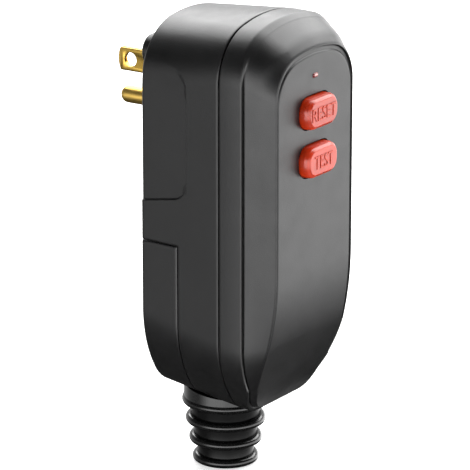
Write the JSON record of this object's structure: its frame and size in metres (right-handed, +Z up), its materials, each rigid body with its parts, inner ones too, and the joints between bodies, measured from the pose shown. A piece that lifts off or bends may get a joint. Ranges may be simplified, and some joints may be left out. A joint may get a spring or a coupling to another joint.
{
  "type": "residual-current plug",
  "caption": "Rewirable residual-current plug: black two-shell body with flat blades and earth pin, red test and reset buttons, wiring cover and ribbed cord boot.",
  "frame": {"origin": "on the blade face, midway between the two flat blades", "axes": "+Y out of the blade face along the blades, +Z up along the body away from the cord, buttons face -Y"},
  "size_m": [0.047, 0.0655, 0.129],
  "materials": {
    "housing_plastic": "satin moulded black",
    "seal_rubber": "matte",
    "boot_rubber": "glossy black",
    "screw_steel": "zinc plated",
    "blade_brass": "bright",
    "inner_brass": "satin",
    "plated_terminal": "satin",
    "earth_green": "green dyed",
    "insulator_cream": "satin",
    "insulator_dark": "satin",
    "button_red": "semi-gloss orange red",
    "plunger_white": "satin",
    "spring_steel": "bright",
    "lens_clear": "clear, tinted",
    "board_green": "solder mask",
    "varistor_blue": "dipped",
    "film_red": "dipped",
    "can_blue": "sleeved can",
    "resistor_tan": "lacquered",
    "relay_iron": "plated",
    "copper_wire": "enamelled copper",
    "wire_black": "insulated",
    "wire_white": "insulated"
  },
  "bodies": {
    "housing": {"rear_shell": "housing_plastic", "front_cover": "housing_plastic", "wiring_cover": "housing_plastic", "seam_gasket": "seal_rubber", "housing_screws": "screw_steel", "cover_screws": "screw_steel", "line_blade": "blade_brass", "neutral_blade": "blade_brass", "earth_pin": "blade_brass", "blade_retainer": "insulator_cream", "earth_strap": "inner_brass", "cord_boot": "boot_rubber", "cord_clamp": "insulator_dark", "clamp_screws": "screw_steel", "line_terminal": "inner_brass", "neutral_terminal": "plated_terminal", "line_screw": "inner_brass", "neutral_screw": "screw_steel", "earth_screw": "earth_green", "line_conductor": "wire_black", "neutral_conductor": "wire_white", "reset_spring": "spring_steel", "test_spring": "spring_steel", "reset_switch": "insulator_dark", "test_switch": "insulator_dark", "led_lens": "lens_clear", "indicator_led": "lens_clear", "circuit_board": "board_green", "controller_chip": "insulator_dark", "rectifier": "insulator_dark", "varistor": "varistor_blue", "film_capacitor": "film_red", "electrolytic_capacitor": "can_blue", "thyristor": "insulator_dark", "resistors": "resistor_tan", "core_case": "insulator_cream", "sense_core": "relay_iron", "neutral_core": "relay_iron", "core_lid": "insulator_cream", "relay_yoke": "relay_iron", "relay_core": "relay_iron", "relay_bobbin": "insulator_cream", "relay_coil": "copper_wire", "line_contact": "inner_brass", "neutral_contact": "inner_brass", "return_spring": "spring_steel", "line_lead": "copper_wire", "neutral_lead": "copper_wire"},
    "reset": {"reset_button": "button_red", "reset_plunger": "plunger_white"},
    "test": {"test_button": "button_red", "test_plunger": "plunger_white"},
    "relay_arm": {"armature": "relay_iron", "contact_carrier": "insulator_dark", "moving_contacts": "inner_brass"}
  },
  "joints": [
    {"name": "reset_press", "type": "slide", "parent": "housing", "child": "reset", "axis": [0, 1, 0], "range_m": [0, 0.0015], "stiffness_N_per_m": 1200, "springref_m": -0.0005, "deforming": ["reset_spring"]},
    {"name": "test_press", "type": "slide", "parent": "housing", "child": "test", "axis": [0, 1, 0], "range_m": [0, 0.0015], "stiffness_N_per_m": 1200, "springref_m": -0.0005, "deforming": ["test_spring"]},
    {"name": "contacts_close", "type": "hinge", "parent": "housing", "child": "relay_arm", "pos_m": [0, -0.0282, 0.00705], "axis": [-1, 0, 0], "range_deg": [0, 6], "stiffness_Nm_per_rad": 0.02, "springref_deg": -5.73, "deforming": ["return_spring", "line_lead", "neutral_lead"]}
  ]
}
